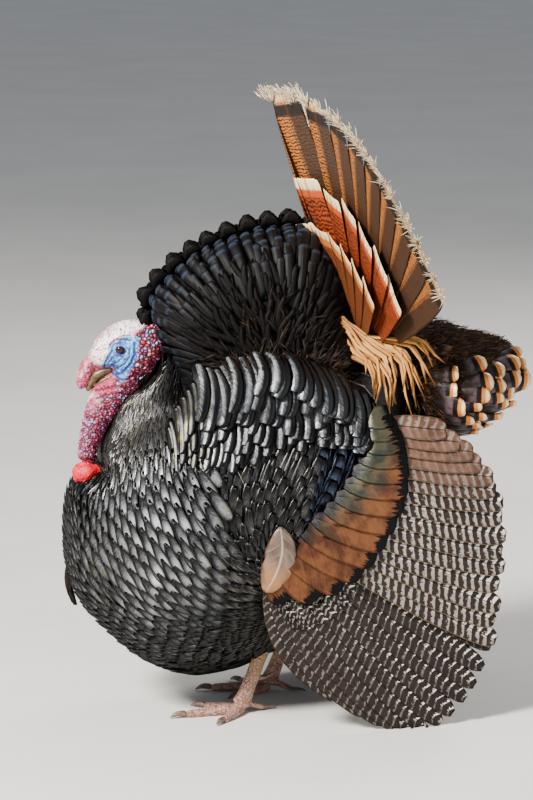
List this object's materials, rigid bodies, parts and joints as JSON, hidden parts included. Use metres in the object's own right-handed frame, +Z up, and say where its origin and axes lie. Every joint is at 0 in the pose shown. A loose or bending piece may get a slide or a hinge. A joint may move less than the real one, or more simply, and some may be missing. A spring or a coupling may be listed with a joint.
{
  "type": "wild turkey",
  "caption": "Strutting wild turkey tom standing with fanned tail, raised back feathers and drooped wings, as a still life-size model.",
  "frame": {"origin": "on the floor, under the middle of the bird's overall box", "axes": "+Z up, the bird faces -Y, its left side is +X"},
  "size_m": [0.6522, 0.6107, 0.8316],
  "materials": {
    "body_feathers": "black contour feathers with a pewter and bronze gloss",
    "neck_feathers": "narrow dark hackles with a silver sheen",
    "shoulder_feathers": "glossy pewter feathers with broad black edges",
    "bronze_feathers": "metallic copper bronze feathers with black tips",
    "barred_feathers": "dark brown flight feathers with white bars",
    "tail_feathers": "grey brown feathers with chestnut vermiculation, a black band and cream tips",
    "tail_covert_feathers": "chestnut coverts with fine black bars and cream tips",
    "undertail_feathers": "dark brown down and coverts with orange and cream tips",
    "head_skin": "bare warty skin in white, blue and red",
    "wattle_skin": "swollen scarlet skin",
    "horn": "smooth tan horn",
    "claw": "dark horn",
    "eye": "wet dark brown",
    "leg_skin": "scaled pinkish tan skin",
    "beard_bristle": "coarse black bristles"
  },
  "bodies": {
    "root": {"eye_left": "eye", "eye_right": "eye", "snood": "head_skin", "bill_upper": "horn", "bill_lower": "horn", "head": "head_skin", "wattle": "wattle_skin", "neck_bare": "head_skin", "neck": "neck_feathers", "trunk": "body_feathers", "beard": "beard_bristle", "scapulars_left": "shoulder_feathers", "scapulars_right": "shoulder_feathers", "mantle": "body_feathers", "alula_left": "shoulder_feathers", "alula_right": "shoulder_feathers", "greater_coverts_left": "bronze_feathers", "greater_coverts_right": "bronze_feathers", "wing_arm_left": "body_feathers", "wing_arm_right": "body_feathers", "secondaries_left": "barred_feathers", "secondaries_right": "barred_feathers", "primaries_left": "barred_feathers", "primaries_right": "barred_feathers", "tail_coverts_short_left": "tail_covert_feathers", "tail_coverts_short_right": "tail_covert_feathers", "tail_left": "tail_feathers", "tail_right": "tail_feathers", "undertail": "undertail_feathers", "tail_coverts_side_left": "tail_covert_feathers", "tail_coverts_side_right": "tail_covert_feathers", "thigh_left": "body_feathers", "shank_left": "leg_skin", "spur_left": "claw", "toe_inner_left": "leg_skin", "claw_inner_left": "claw", "toe_middle_left": "leg_skin", "claw_middle_left": "claw", "toe_outer_left": "leg_skin", "claw_outer_left": "claw", "toe_hind_left": "leg_skin", "claw_hind_left": "claw", "thigh_right": "body_feathers", "shank_right": "leg_skin", "spur_right": "claw", "toe_inner_right": "leg_skin", "claw_inner_right": "claw", "toe_middle_right": "leg_skin", "claw_middle_right": "claw", "toe_outer_right": "leg_skin", "claw_outer_right": "claw", "toe_hind_right": "leg_skin", "claw_hind_right": "claw", "tail_coverts_long_left": "tail_covert_feathers", "tail_coverts_long_right": "tail_covert_feathers"}
  },
  "joints": []
}
